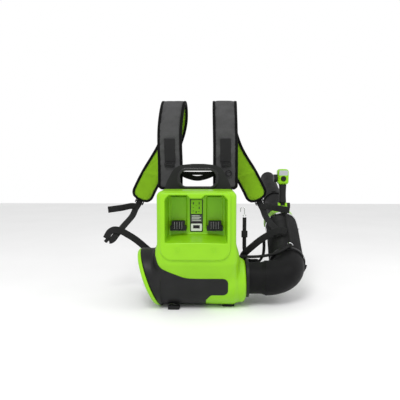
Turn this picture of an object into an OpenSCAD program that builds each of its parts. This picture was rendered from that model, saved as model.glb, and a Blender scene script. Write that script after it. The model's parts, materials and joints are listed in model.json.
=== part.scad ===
// Backpack leaf blower: twin battery housing over an axial fan, carried on a padded harness.
// Millimetres, +Z up, +Y towards the wearer's front, floor at z = 0.

/* [Blower body] */
// Half the width of the battery housing
housing_half = 125.5; // [118:0.5:128]
// Height of the top of the battery housing
housing_top = 391; // [384:1:398]
// How far the housing reaches towards the rear
housing_rear = 118; // [114:1:124]
// Depth of the battery bay, from the rear rim to its back wall
bay_depth = 86; // [76:1:90]
// Height of the battery shelf
shelf_z = 228; // [224:1:234]
// Height of the fan's axis
axis_z = 92; // [92:1:94]
// Outer radius of the fan casing
casing_r = 86; // [85:0.5:86]
// Bore of the fan casing
duct_r = 79; // [78:0.5:80]
// Wall thickness of the moulded shells
wall = 4; // [3:0.5:5]

/* [Fan] */
// Radius of the impeller at its blade tips
impeller_r = 77; // [74:0.5:77]
// Number of impeller blades
blade_count = 9; // [7:1:11]
// Number of stator vanes
vane_count = 7; // [5:1:9]
// Radius of the motor shaft
shaft_r = 4; // [3:0.5:5]

/* [Blower tube] */
// Length of the rear tube
tube_len = 225; // [205:5:240]
// Outer radius of the rear tube
tube_r = 43; // [42:0.5:43]
// Distance from the tube's base to the nozzle's tip
nozzle_reach = 480; // [440:5:500]
// Outer radius of the nozzle's tip
tip_r = 32.5; // [30:0.5:36]
// Ridges along the flexible hose
ridge_count = 26; // [18:1:30]

/* [Control handle] */
// Height of the handle's grip
grip_len = 84; // [76:1:90]
// Width of the handle's head
head_w = 43; // [38:1:46]

/* [Harness] */
// Half the width of a shoulder strap
strap_half = 41; // [38:1:43]
// Thickness of a shoulder strap
strap_t = 12; // [9:1:13]
// Half the width of the harness webbing
web_half = 12; // [10:0.5:13]

/* [Hidden] */
$fn = 48;
eps = 0.3;                       // gap between neighbouring pieces
run = 0.04;                      // radial clearance of the shaft and the pins
green = [0.50, 0.80, 0.10];
black = [0.13, 0.13, 0.14];
fabric = [0.30, 0.30, 0.31];
metal = [0.75, 0.76, 0.78];

bay_y = -housing_rear + bay_depth;   // the bay's back wall
bay_half = 98.5;
bay_top = 374;
elbow_bend = 85;                     // bend radius of the elbow
elbow_rise = 20;                     // how far its outlet points upwards
elbow_x = 231;                       // where its bend begins
elbow_r = 58;
tube_rise = 21;                      // slope of the blower tube
hose_a = [elbow_x + elbow_bend, elbow_bend*cos(elbow_rise), axis_z + elbow_bend*sin(elbow_rise)];
hose_d = [319, 250, 236];            // base of the blower tube
hose_b = hose_a + 65*[0, cos(elbow_rise), sin(elbow_rise)];
hose_c = hose_d - 65*[0, cos(tube_rise), sin(tube_rise)];
bell_z = 97;                         // centre of the intake bell
mouth_tilt = 20;                     // the intake mouth faces slightly downwards
mouth_x = -155;
pivot = [328, 288, 310];             // pivot of the control handle
strap_x0 = -2;                       // middle of the harness
grip_top = pivot[2] + 2 + grip_len;

// Paths of the soft parts, right-hand side, as round numbers
strap_path = [[97,118,389],[97,118,430],[97,119,480],[97,122,540],[96,130,600],[95,148,655],
    [95,178,695],[95,208,699],[95,238,673],[97,256,634],[106,268,585],[126,278,530],[152,285,483],
    [180,291,440],[207,297,392],[235,300,334]];
hip_path = [[62,141,104],[110,142,102],[150,148,94],[185,162,84],[212,188,78],[228,222,76]];
leg_path = [[243,300,314],[250,272,298],[256,225,274],[272,160,250],[292,104,221]];
return_path = [[106,105.5,98],[140,107,112],[164,116,148],[196,110,180],[224,106,204],[251,102,222],
    [274,99,235],[296,98,240],[313,101,233]];
tail_path = [[246,287,307],[264,245,312],[290,205,309],[338,178,304]];
belt_end_path = [[218,181,96],[228,163,116],[237,143,140],[239,130,168],[238,124,198]];
// Route of the control cable, cut into lengths at its points 7 and 10
cable_route = [[128,42,155],[141,42,155],[165,48,154],[200,55,153],[240,52,158],[275,46,169],
    [300,50,182],[323,63,195],[325,76,205],[326,92,215],[326,118,234],[326,138,249],
    [326,160,265],[327,188,284],[328,215,299],[328,236,299]];

// ---- Functions for swept parts ----
function unit(v) = v / norm(v);
function mid4(a, b, c, d, t) = 0.5*((2*b) + (c - a)*t + (2*a - 5*b + 4*c - d)*t*t
    + (3*b - a - 3*c + d)*t*t*t);
function smooth(p, k) = let (n = len(p)) concat([for (i = [0:n-2]) for (j = [0:k-1])
    mid4(p[max(i-1, 0)], p[i], p[i+1], p[min(i+2, n-1)], j/k)], [p[n-1]]);
// the hose's centre line, a Bezier curve from the elbow to the tube
function bez(t) = hose_a*pow(1-t, 3) + hose_b*3*t*pow(1-t, 2) + hose_c*3*t*t*(1-t)
    + hose_d*pow(t, 3);
function tangent(p, i) = unit(p[min(i+1, len(p)-1)] - p[max(i-1, 0)]);
function across(t, side) = unit(side - (side*t)*t);
function ring(c, t, s, shape) = let (n = cross(t, s)) [for (q = shape) c + q[0]*s + q[1]*n];
function rings(p, side, shape) = [for (i = [0:len(p)-1])
    let (t = tangent(p, i)) ring(p[i], t, across(t, side), shape)];
function flat(h, n0, n1) = [[-h, n0+1], [-h+1, n0], [h-1, n0], [h, n0+1],
    [h, n1-1], [h-1, n1], [-h+1, n1], [-h, n1-1]];
function disc(r, m) = [for (j = [0:m-1]) [r*cos(360*j/m), r*sin(360*j/m)]];

// ---- General modules ----
module sweep(r) {
    m = len(r[0]);
    last = len(r) - 1;
    polyhedron(points = [for (q = r) each q], faces = concat(
        [[for (j = [0:m-1]) j]],
        [[for (j = [m-1:-1:0]) last*m + j]],
        [for (k = [0:last-1]) for (j = [0:m-1]) [k*m+j, (k+1)*m+j, (k+1)*m+(j+1)%m]],
        [for (k = [0:last-1]) for (j = [0:m-1]) [k*m+j, (k+1)*m+(j+1)%m, k*m+(j+1)%m]]));
}
module hollow_sweep(r) {
    m = len(r[0]);
    n = len(r);
    polyhedron(points = [for (q = r) each q], faces = concat(
        [for (k = [0:n-1]) for (j = [0:m-1]) let (l = (k+1)%n) [k*m+j, l*m+j, l*m+(j+1)%m]],
        [for (k = [0:n-1]) for (j = [0:m-1]) let (l = (k+1)%n) [k*m+j, l*m+(j+1)%m, k*m+(j+1)%m]]));
}
module left_hand() { translate([2*strap_x0, 0, 0]) mirror([1, 0, 0]) children(); }
module both_hands() { children(); left_hand() children(); }
module box(a, b) { translate(a) cube(b - a); }
// a box with its edges along Y rounded
module ybox(a, b, r) {
    box([a[0]+r, a[1], a[2]], [b[0]-r, b[1], b[2]]);
    box([a[0], a[1], a[2]+r], [b[0], b[1], b[2]-r]);
    for (x = [a[0]+r, b[0]-r]) for (z = [a[2]+r, b[2]-r])
        translate([x, a[1], z]) rotate([-90, 0, 0]) cylinder(r = r, h = b[1]-a[1]);
}
// a box with its edges along Z rounded
module zbox(a, b, r) {
    box([a[0]+r, a[1], a[2]], [b[0]-r, b[1], b[2]]);
    box([a[0], a[1]+r, a[2]], [b[0], b[1]-r, b[2]]);
    for (x = [a[0]+r, b[0]-r]) for (y = [a[1]+r, b[1]-r])
        translate([x, y, a[2]]) cylinder(r = r, h = b[2]-a[2]);
}
module xcyl(r, x0, x1, z = axis_z) {
    translate([x0, 0, z]) rotate([0, 90, 0]) cylinder(r = r, h = x1-x0, $fn = 96);
}
module ycyl(r, p, h) { translate(p) rotate([-90, 0, 0]) cylinder(r = r, h = h); }
// places its children on the blower tube's axis, s from its base
module on_tube(s = 0) {
    translate(hose_d) rotate([tube_rise-90, 0, 0]) translate([0, 0, s]) children();
}
// places its children on the intake mouth's axis, s outside its plane
module on_mouth(s = 0) {
    translate([mouth_x, 0, bell_z]) rotate([0, -90-mouth_tilt, 0]) translate([0, 0, s]) children();
}
module annulus(ro, ri, h) {
    difference() {
        cylinder(r = ro, h = h, $fn = 96);
        translate([0, 0, -1]) cylinder(r = ri, h = h+2, $fn = 96);
    }
}

// ---- Battery housing ----
module housing_body(t) {
    ybox([-housing_half+t, -108+t, 165+t], [housing_half-t, 52-t, housing_top-t], 20-t);
    ybox([-112+t, -housing_rear+t, 170+t], [112-t, -100, 229-t], 20-t);
}
module bay(t) {
    ybox([-bay_half-t, -140, shelf_z-t], [bay_half+t, bay_y+t, bay_top+t], 10);
}
module battery_housing() {
    color(green) difference() {
        housing_body(0);
        bay(0);
        for (x = [-61, 58]) {
            ybox([x-28, bay_y-1, 291], [x+28, bay_y+5, 366], 4);
            box([x-28, bay_y-1, 368], [x+28, bay_y+5, 372]);
        }
        difference() {
            housing_body(wall);
            bay(wall);
            box([-200, -200, 100], [200, 100, 186]);
            for (x = [-61, 58]) ybox([x-32, bay_y-1, 287], [x+32, bay_y+9, 374], 4);
        }
        xcyl(casing_r+eps, -200, 200);
    }
    color(green) intersection() {
        box([-bay_half+0.5, -housing_rear+6, shelf_z-2], [bay_half-0.5, bay_y+1, shelf_z+20]);
        translate([0, -housing_rear, shelf_z-328]) rotate([-80, 0, 0]) translate([0, 0, -60])
            cylinder(r = 328, h = 260, $fn = 180);
    }
}
module terminal(x) {
    color(black) difference() {
        union() {
            box([x-26, bay_y-22, 259], [x+26, bay_y-eps, 275]);
            box([x-21, bay_y-19, 275], [x+21, bay_y-eps, 291]);
        }
        for (k = [-12:8:12]) box([x+k-1.5, bay_y-30, 262], [x+k+1.5, bay_y-8, 295]);
    }
}
module terminal_left() { terminal(-61); }
module terminal_right() { terminal(58); }
module terminal_blades() {
    color(metal) for (x = [-61, 58]) for (k = [-12:8:12])
        box([x+k-0.4, bay_y-18, 264], [x+k+0.4, bay_y-9, 288]);
}
module label_plate() { color(metal) ybox([-23, bay_y-1.2, 253], [19, bay_y-eps/2, 361], 3); }
module control_board() {
    color([0.05, 0.3, 0.15]) box([-80, 6, 205], [80, 8, 365]);
    color(black) for (z = [230:45:320]) for (x = [-50, 0, 50]) ycyl(9, [x, 8, z], 22);
    color(metal) box([-70, -14, 225], [70, 6, 240]);
}

// ---- Fan ----
module fan_casing() {
    color(green) difference() {
        union() {
            xcyl(casing_r, -126, 126);
            box([-126, -86, axis_z], [126, 52, 165-eps]);
            xcyl(72, 120, 150, axis_z-8);
            translate([150, 0, axis_z-8]) rotate([0, 90, 0]) cylinder(r1 = 72, r2 = 66, h = 12, $fn = 96);
            xcyl(64, 150, 162);
        }
        xcyl(duct_r, -130, 95);
        on_mouth() translate([0, 0, 60-eps/2]) cube([400, 400, 120], center = true);
        translate([94.9, 0, axis_z]) rotate([0, 90, 0]) cylinder(r1 = duct_r, r2 = 62, h = 31.2, $fn = 96);
        translate([126, 0, axis_z]) rotate([0, 90, 0]) cylinder(r1 = 62, r2 = 54, h = 36.1, $fn = 96);
    }
}
module intake_cover() {
    color(black) difference() {
        union() {
            translate([-126-eps, 0, bell_z]) rotate([0, -90, 0]) cylinder(r = 95, h = 90, $fn = 96);
            intersection() {
                union() {
                    box([-127, -98, axis_z], [110, -86-eps, 190]);
                    difference() {
                        xcyl(98, -127, 110);
                        xcyl(casing_r+eps, -130, 120);
                        box([-200, -200, axis_z], [200, 200, 300]);
                        box([-200, -8, -50], [200, 200, 300]);
                    }
                }
                translate([0, 1, 0]) rotate([90, 0, 0]) linear_extrude(110) cover_outline();
            }
        }
        translate([-120, 0, bell_z]) rotate([0, -90, 0]) cylinder(r1 = 83, r2 = 90, h = 110, $fn = 96);
        on_mouth() translate([0, 0, 60-eps/2]) cube([400, 400, 120], center = true);
        xcyl(casing_r+eps, -126-eps, 20);
        box([-126-eps, -86-eps, 90], [0, 200, 300]);
    }
}
module cover_outline() {
    polygon([[-127,8], [-127,165-eps], [-124,165-eps], [-116,151], [-97,138], [-58,121], [-33,112],
        [-20,110], [85,110], [85,53], [45,52], [31,34], [31,8]]);
    translate([85, 53]) square([16, 41]);
    translate([85, 69]) circle(16);
    translate([85, 94]) circle(16);
}
module intake_rim() {
    color(green) on_mouth(eps) rotate_extrude($fn = 96)
        polygon([[88, 0], [100, 0], [100, 5], [97, 11], [93, 13], [90, 12], [88, 8]]);
}
module intake_grille() {
    color(black) on_mouth(2) {
        difference() {
            union() {
                for (r = [15.7:12:88]) annulus(r, r-3, 4);
                for (a = [0:30:330]) rotate([0, 0, a]) translate([10, -1.5, 0]) cube([75, 3, 4]);
            }
            translate([0, 0, -1]) cylinder(r = 8, h = 8);
        }
    }
}
module stator() {
    color(black) difference() {
        union() {
            xcyl(37, -32, 60);
            translate([60, 0, axis_z]) rotate([0, 90, 0]) cylinder(r1 = 37, r2 = 12, h = 42, $fn = 96);
            for (k = [0:vane_count-1]) translate([0, 0, axis_z]) rotate([k*360/vane_count, 0, 0])
                box([-20, -1.5, 36], [44, 1.5, duct_r-eps]);
        }
        xcyl(33, -40, 58);
    }
}
module motor_can() {
    color(metal) difference() {
        xcyl(33-eps, -30, 50);
        xcyl(29, -26, 46);
        xcyl(11, -40, 60);
    }
    color([0.72, 0.4, 0.18]) difference() {
        xcyl(28.5, -18, 38);
        xcyl(19, -20, 40);
    }
}
module bearings() {
    color(metal) for (x = [-29.5, 43]) difference() {
        xcyl(11-run, x, x+7);
        xcyl(shaft_r+run, x-1, x+8);
    }
}
module motor_shaft() {
    color(metal) { xcyl(shaft_r, -88, 52); xcyl(18.4, -16, 36); }
}
module impeller() {
    color(black) difference() {
        union() {
            translate([-34, 0, axis_z]) rotate([0, -90, 0]) cylinder(r1 = 36, r2 = 31, h = 38, $fn = 96);
            for (k = [0:blade_count-1]) translate([-54, 0, axis_z]) rotate([k*360/blade_count, 0, 0])
                rotate([0, 0, 32]) box([-17, -1.3, 28], [17, 1.3, impeller_r-1.5]);
        }
        xcyl(shaft_r+0.02, -90, 0);
        translate([-33, 0, axis_z]) rotate([0, -90, 0]) cylinder(r = 27, h = 22, $fn = 96);
    }
}
module impeller_nut() {
    color(metal) difference() {
        translate([-72-eps, 0, axis_z]) rotate([0, -90, 0]) cylinder(r = 8, h = 7, $fn = 6);
        xcyl(shaft_r+0.02, -90, 0);
    }
}

// ---- Outlet, elbow and flexible hose ----
module outlet_collar() {
    color(black) translate([162+eps, 0, axis_z]) rotate([0, 90, 0]) annulus(64, 53+eps, 9);
}
module elbow() {
    color(black) {
        translate([0, 0, axis_z]) rotate([0, 90, 0]) rotate_extrude($fn = 96)
            polygon([[50, 162+eps], [53, 162+eps], [53, 214], [elbow_r, elbow_x],
                [elbow_r-3, elbow_x], [50, 214]]);
        translate([elbow_x, 0, axis_z]) rotate([elbow_rise, 0, 0]) translate([0, elbow_bend, 0])
            rotate([0, 0, -90]) rotate_extrude(angle = 90, $fn = 96) translate([elbow_bend, 0])
                difference() {
                    circle(elbow_r, $fn = 96);
                    circle(elbow_r-3, $fn = 96);
                }
        translate([elbow_x-3, 0, axis_z]) rotate([0, 90, 0]) annulus(elbow_r+0.6, elbow_r-3.6, 6);
    }
}
// places its children on the axis of the elbow's outlet, s beyond its end
module on_elbow(s = 0) {
    translate(hose_a) rotate([elbow_rise-90, 0, 0]) translate([0, 0, s]) children();
}
function hose_r(t, i) = 62 - 3*t - (t < 0.1 || t > 0.9 ? 0 : 2.5*(i % 2));
// half of the hose as a ridged tube, from a to b of its length
module hose(a, b) {
    n = ridge_count;
    c = [for (i = [0:n]) bez(a + (b-a)*i/n)];
    outer = [for (i = [0:n]) let (t = tangent(c, i))
        ring(c[i], t, across(t, [1, 0, 0]), disc(hose_r(a + (b-a)*i/n, i), 32))];
    inner = [for (i = [n:-1:0]) let (t = tangent(c, i))
        ring(c[i], t, across(t, [1, 0, 0]), disc(55 - 3*(a + (b-a)*i/n), 32))];
    color(black) hollow_sweep(concat(outer, inner));
}
module hose_lower() { hose(0.012, 0.499); }
module hose_upper() { hose(0.501, 0.988); }
module clamp_band(r) {
    color(metal) {
        annulus(r+1.6, r, 11);
        rotate([0, 0, 20]) translate([r+1, -9, 0]) cube([7, 18, 11]);
        rotate([0, 0, 20]) translate([r+5, -15, 5.5]) rotate([-90, 0, 0]) cylinder(r = 4, h = 30);
    }
}
module lower_clamp() { on_elbow(3) clamp_band(63); }
module upper_clamp() { on_tube(-14) clamp_band(60.5); }
// wire loop that holds the cable against the hose
module cable_guide() {
    color(metal) translate([322, 62, 194.3]) rotate([-50, 0, -30]) rotate_extrude()
        translate([9.5, 0]) circle(1.6, $fn = 24);
}

// ---- Blower tube ----
module rear_tube() {
    color(black) on_tube() difference() {
        union() {
            translate([0, 0, eps]) cylinder(r = tube_r, h = tube_len-eps, $fn = 96);
            translate([0, 0, eps]) cylinder(r = 58, h = 4, $fn = 96);
        }
        translate([0, 0, -1]) cylinder(r = tube_r-2.5, h = tube_len+2, $fn = 96);
        translate([0, 0, 214]) rotate([0, 0, -97]) translate([0, -6, 0]) cube([60, 12, 6]);
    }
}
module tube_rim() {
    color(black) on_tube(tube_len-16) difference() {
        annulus(tube_r+4, tube_r+eps, 16);
        rotate([0, 0, -97]) translate([0, -9, 4]) cube([60, 18, 8]);
    }
}
module nozzle() {
    color(black) on_tube() rotate_extrude($fn = 96)
        polygon([[37, 150], [tube_r-2.5-eps, 150], [tube_r-2.5-eps, 160], [38.5, 163], [38, 236],
            [tip_r+1, nozzle_reach-36], [tip_r+1, nozzle_reach-31], [tip_r, nozzle_reach-31],
            [tip_r, nozzle_reach], [tip_r-2.5, nozzle_reach], [tip_r-2, nozzle_reach-36], [35.5, 236]]);
}
module handle_bracket() {
    color(green) difference() {
        union() {
            on_tube(8) cylinder(r = 55, h = 34, $fn = 96);
            on_tube(8) rotate([0, 0, 180]) translate([52, -12, 4]) cube([12, 24, 26]);
            translate([pivot[0]-17, pivot[1], pivot[2]]) {
                rotate([0, 90, 0]) cylinder(r = 14, h = 34);
                rotate([tube_rise, 0, 0]) box([0.5, -38, -22], [33.5, 0, 8]);
            }
        }
        on_tube(0) cylinder(r = tube_r+eps, h = 90, $fn = 96);
        translate([pivot[0]-40, pivot[1], pivot[2]]) rotate([0, 90, 0]) cylinder(r = 5, h = 80);
        box([pivot[0]-9, pivot[1]-16, pivot[2]-16], [pivot[0]+9, pivot[1]+20, pivot[2]+40]);
    }
}
module bracket_knob() {
    color(black) {
        translate([pivot[0]-17, pivot[1], pivot[2]]) rotate([0, 90, 0]) cylinder(r = 5-run, h = 34);
        translate([pivot[0]+17+eps, pivot[1], pivot[2]]) rotate([0, 90, 0]) difference() {
            cylinder(r = 13, h = 12);
            for (a = [0:45:315]) rotate([0, 0, a]) translate([15, 0, -1]) cylinder(r = 3.5, h = 20);
        }
    }
}
module grip() {
    color(black) difference() {
        union() {
            zbox([pivot[0]-14, pivot[1]-17, pivot[2]+15.5], [pivot[0]+14, pivot[1]+17, grip_top-eps], 10);
            box([pivot[0]-8, pivot[1]-9, pivot[2]], [pivot[0]+8, pivot[1]+9, pivot[2]+17]);
            translate([pivot[0]-8, pivot[1], pivot[2]]) rotate([0, 90, 0]) cylinder(r = 11, h = 16);
        }
        translate([pivot[0]-40, pivot[1], pivot[2]]) rotate([0, 90, 0]) cylinder(r = 5, h = 80);
        box([pivot[0]-6, pivot[1]-2, grip_top-50], [pivot[0]+6, pivot[1]+30, grip_top+1]);
    }
    color(black) translate([pivot[0]-7, pivot[1]+10, grip_top-6]) rotate([0, 90, 0])
        cylinder(r = 2-run, h = 14);
}
module grip_head() {
    h = head_w/2;
    color(green) difference() {
        ybox([pivot[0]-h, pivot[1]-24, grip_top], [pivot[0]+h, pivot[1]+24, grip_top+60], 9);
        ybox([pivot[0]-h+4, pivot[1]-20, grip_top+4], [pivot[0]+h-4, pivot[1]+20, grip_top+56], 6);
        ybox([pivot[0]-17, pivot[1]-25, grip_top+35], [pivot[0]+17, pivot[1]-22, grip_top+55], 3);
        ycyl(9.5, [pivot[0], pivot[1]-30, grip_top+22], 14);
        translate([pivot[0]-h-1, pivot[1]-2, grip_top+24]) rotate([0, 90, 0]) cylinder(r = 4, h = 6);
    }
}
module display() {
    color(metal) ybox([pivot[0]-17+eps, pivot[1]-24, grip_top+35+eps],
        [pivot[0]+17-eps, pivot[1]-22-eps, grip_top+55-eps], 2.5);
}
module turbo_button() {
    color(black) {
        translate([pivot[0], pivot[1]-27, grip_top+22]) rotate([-90, 0, 0]) cylinder(r = 9, h = 8, $fn = 6);
        ycyl(5, [pivot[0], pivot[1]-19, grip_top+22], 8);
    }
}
module trigger() {
    color(black) difference() {
        union() {
            translate([pivot[0]-5, pivot[1]+10, grip_top-6]) rotate([0, 90, 0]) cylinder(r = 4, h = 10);
            box([pivot[0]-5, pivot[1]+8, grip_top-44], [pivot[0]+5, pivot[1]+27, grip_top-6]);
        }
        translate([pivot[0]-9, pivot[1]+35, grip_top-26]) rotate([0, 90, 0]) cylinder(r = 14, h = 20);
        box([pivot[0]-9, pivot[1]+14.01, grip_top-14], [pivot[0]+9, pivot[1]+40, grip_top]);
        translate([pivot[0]-9, pivot[1]+10, grip_top-6]) rotate([0, 90, 0]) cylinder(r = 2, h = 20);
    }
}
module cruise_lever() {
    h = head_w/2;
    color(black) {
        translate([pivot[0]-h-14, pivot[1]-2, grip_top+24]) rotate([0, 90, 0]) cylinder(r = 15, h = 14-eps);
        translate([pivot[0]-h-eps-1, pivot[1]-2, grip_top+24]) rotate([0, 90, 0])
            cylinder(r = 4-run, h = 5);
        box([pivot[0]-h-14, pivot[1]-26, grip_top+20], [pivot[0]-h-4, pivot[1]-12, grip_top+28]);
    }
}

// ---- Control cable ----
module cable(a, b) {
    r = rings(smooth(cable_route, 3), [0.1, -0.8, 0.6], disc(5.5, 10));
    color(black) sweep([for (i = [3*a:3*b]) r[i]]);
}
module cable_gland() {
    color(black) translate([126+eps, 42, 155]) rotate([0, 90, 0]) difference() {
        union() {
            cylinder(r = 9.5, h = 5, $fn = 6);
            cylinder(r = 8.8, h = 13);
        }
        translate([0, 0, 1]) cylinder(r = 6.6, h = 20);
    }
}
module cable_lower() { cable(0, 7); }
module cable_middle() { cable(7, 10); }
module cable_upper() { cable(10, 15); }

// ---- Frame ----
module frame_outline() {
    polygon([[-116,10], [116,10], [121,380], [108,414], [92,446], [80,462], [60,472], [20,476], [-20,476],
        [-60,472], [-80,462], [-92,446], [-108,414], [-121,380]]);
}
module back_frame() {
    color(black) {
        difference() {
            translate([0, 103, 0]) rotate([90, 0, 0]) linear_extrude(37) frame_outline();
            ybox([-66, 60, 394], [66, 110, 456], 24);
            for (z = [26:70:330]) for (x = [-110, -35, 40]) box([x, 71, z], [x+70, 110, z+64]);
            for (x = [-90, 90]) for (z = [200, 350]) ycyl(3, [x, 60, z], 30);
            xcyl(casing_r+1, -130, 130);
        }
        difference() {
            box([-116, 66, 0], [116, 118, 10]);
            xcyl(casing_r+1, -130, 130);
        }
    }
}
module vibration_mounts() {
    color(black) for (x = [-90, 90]) for (z = [200, 350]) difference() {
        ycyl(13, [x, 52+eps, z], 14-2*eps);
        ycyl(3, [x, 50, z], 20);
    }
}
module frame_screws() {
    color(metal) for (x = [-90, 90]) for (z = [200, 350]) difference() {
        union() {
            ycyl(3-run, [x, 54, z], 18);
            ycyl(5, [x, 71+eps, z], 4);
        }
        translate([x, 73, z]) rotate([-90, 0, 0]) cylinder(r = 2.5, h = 4, $fn = 6);
    }
}
module feet() {
    color(black) difference() {
        union() {
            zbox([-95, -64, 0], [-57, -34, 12], 6);
            zbox([84, -26, 0], [124, 22, 12], 6);
        }
        intersection() {
            xcyl(98+eps, -200, 82);
            box([-200, -200, 8-eps], [82, 0, 50]);
        }
        xcyl(casing_r+eps, 82, 126+eps);
        xcyl(72+eps, 120, 200, axis_z-8);
    }
}

// ---- Harness ----
module back_pad() { color(fabric) ybox([-138, 103+eps, 120], [134, 132, 385], 20); }
module hip_pads() {
    color(fabric) both_hands() sweep(rings(smooth(hip_path, 3), [0, 0, 1], flat(36, -7, 7)));
}
function strap_rings(a, b, h, n0, n1) =
    let (p = smooth(strap_path, 3), q = rings(p, [1, 0, 0], flat(h, n0, n1))) [for (i = [a:b]) q[i]];
strap_end = 3*(len(strap_path) - 1);
module strap_right() { color(fabric) sweep(strap_rings(0, strap_end, strap_half, -strap_t/2, strap_t/2)); }
module strap_left() { left_hand() strap_right(); }
// the lining begins just over the shoulder and faces the wearer
module lining_right() {
    color(green) sweep(strap_rings(21, strap_end, strap_half-4, strap_t/2+1.2, strap_t/2+4));
}
module lining_left() { left_hand() lining_right(); }
module strap_patches() {
    color(black) both_hands() sweep(strap_rings(6, 10, 18, -strap_t/2-3, -strap_t/2-eps));
}
module ladder_lock(w) {
    difference() {
        translate([-w/2, -3, -8]) cube([w, 6, 16]);
        for (z = [-6, 2]) translate([-w/2+4, -5, z]) cube([w-8, 10, 4]);
    }
}
module ladder_locks() {
    color(black) both_hands() translate([99, 105.5, 474]) ladder_lock(36);
}
module pad_buckles() {
    color(black) both_hands() translate([239, 300.5, 324]) rotate([0, -25, 0]) ladder_lock(36);
}
module d_ring() {
    color(black) translate([108, 107, 443]) rotate([90, 0, 0]) {
        rotate_extrude() translate([10, 0]) circle(2, $fn = 24);
    }
}
module webbing_right() {
    color(black) {
        sweep(rings(smooth(leg_path, 3), [1, 0, 0.35], flat(web_half, -1.5, 1.5)));
        sweep(rings(smooth(return_path, 3), [0.2, 0, 1], flat(web_half, -1.5, 1.5)));
        sweep(rings(smooth(tail_path, 3), [0, 0, 1], flat(web_half, -1.5, 1.5)));
        ycyl(12, [302, 98, 226], 14);
    }
}
module webbing_left() { left_hand() webbing_right(); }
module belt_end() {
    color(black) sweep(rings(smooth(belt_end_path, 3), [1, 0.3, 0], flat(6, -1.5, 1.5)));
}
module hook_strap() { color(black) box([159, 110, 181], [173, 113, 284.6]); }
module hook_slider() {
    color(black) difference() {
        box([155, 106, 212], [177, 117, 236]);
        box([159-eps, 110-eps, 200], [173+eps, 113+eps, 240]);
    }
}
module snap_hook() {
    color(metal) translate([166, 111.5, 286]) {
        translate([0, 0, 5]) rotate([90, 0, 0]) rotate_extrude() translate([4.5, 0]) circle(1.5, $fn = 24);
        translate([0, 0, 9]) cylinder(r = 1.5, h = 18);
        translate([-7, 0, 27]) rotate([90, 0, 0]) rotate_extrude(angle = 180)
            translate([7, 0]) circle(1.5, $fn = 24);
        translate([-14, 0, 18]) cylinder(r = 1.5, h = 9);
    }
}

battery_housing();
terminal_left();
terminal_right();
terminal_blades();
label_plate();
control_board();
fan_casing();
intake_cover();
intake_rim();
intake_grille();
stator();
motor_can();
bearings();
motor_shaft();
impeller();
impeller_nut();
outlet_collar();
elbow();
lower_clamp();
cable_guide();
hose_lower();
hose_upper();
upper_clamp();
handle_bracket();
bracket_knob();
rear_tube();
tube_rim();
nozzle();
grip();
grip_head();
display();
turbo_button();
trigger();
cruise_lever();
cable_gland();
cable_lower();
cable_middle();
cable_upper();
back_frame();
vibration_mounts();
frame_screws();
feet();
back_pad();
hip_pads();
strap_left();
strap_right();
lining_left();
lining_right();
strap_patches();
ladder_locks();
pad_buckles();
d_ring();
webbing_left();
webbing_right();
belt_end();
hook_strap();
hook_slider();
snap_hook();
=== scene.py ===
"""Looks of the backpack leaf blower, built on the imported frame.

Lengths are in millimetres in the row frame unless a name ends in _m; MM turns them into metres."""

import json
import math

import bpy
import numpy as np
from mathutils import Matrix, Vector
from mathutils.bvhtree import BVHTree


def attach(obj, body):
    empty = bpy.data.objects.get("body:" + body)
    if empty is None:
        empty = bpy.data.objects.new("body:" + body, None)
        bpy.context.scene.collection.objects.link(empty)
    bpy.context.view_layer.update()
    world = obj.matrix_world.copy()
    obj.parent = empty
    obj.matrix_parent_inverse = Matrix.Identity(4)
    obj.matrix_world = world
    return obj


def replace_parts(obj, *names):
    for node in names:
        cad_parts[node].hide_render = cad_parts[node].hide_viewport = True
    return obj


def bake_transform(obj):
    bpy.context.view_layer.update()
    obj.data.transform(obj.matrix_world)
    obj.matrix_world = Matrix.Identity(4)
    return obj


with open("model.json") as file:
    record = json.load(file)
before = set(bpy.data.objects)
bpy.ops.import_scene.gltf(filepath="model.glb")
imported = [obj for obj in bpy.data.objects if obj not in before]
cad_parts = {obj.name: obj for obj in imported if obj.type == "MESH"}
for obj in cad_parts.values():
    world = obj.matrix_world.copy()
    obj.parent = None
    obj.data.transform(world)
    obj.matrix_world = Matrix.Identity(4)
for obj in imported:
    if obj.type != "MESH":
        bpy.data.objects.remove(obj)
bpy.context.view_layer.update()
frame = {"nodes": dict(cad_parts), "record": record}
MM = 0.001
NODES = frame["nodes"]
RECORD = frame["record"]

# ---- Camera ----
CAMERA_AT_M = (0.047, -1.5, 0.472)
CAMERA_TURN = (85.55, 0.0, 1.46)
CAMERA_LENS = 40.5
camera_data = bpy.data.cameras.new("camera")
camera_data.lens = CAMERA_LENS
camera_data.sensor_width = 36
camera = bpy.data.objects.new("camera", camera_data)
camera.location = CAMERA_AT_M
camera.rotation_euler = [math.radians(a) for a in CAMERA_TURN]
bpy.context.scene.collection.objects.link(camera)
bpy.context.scene.camera = camera


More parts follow.
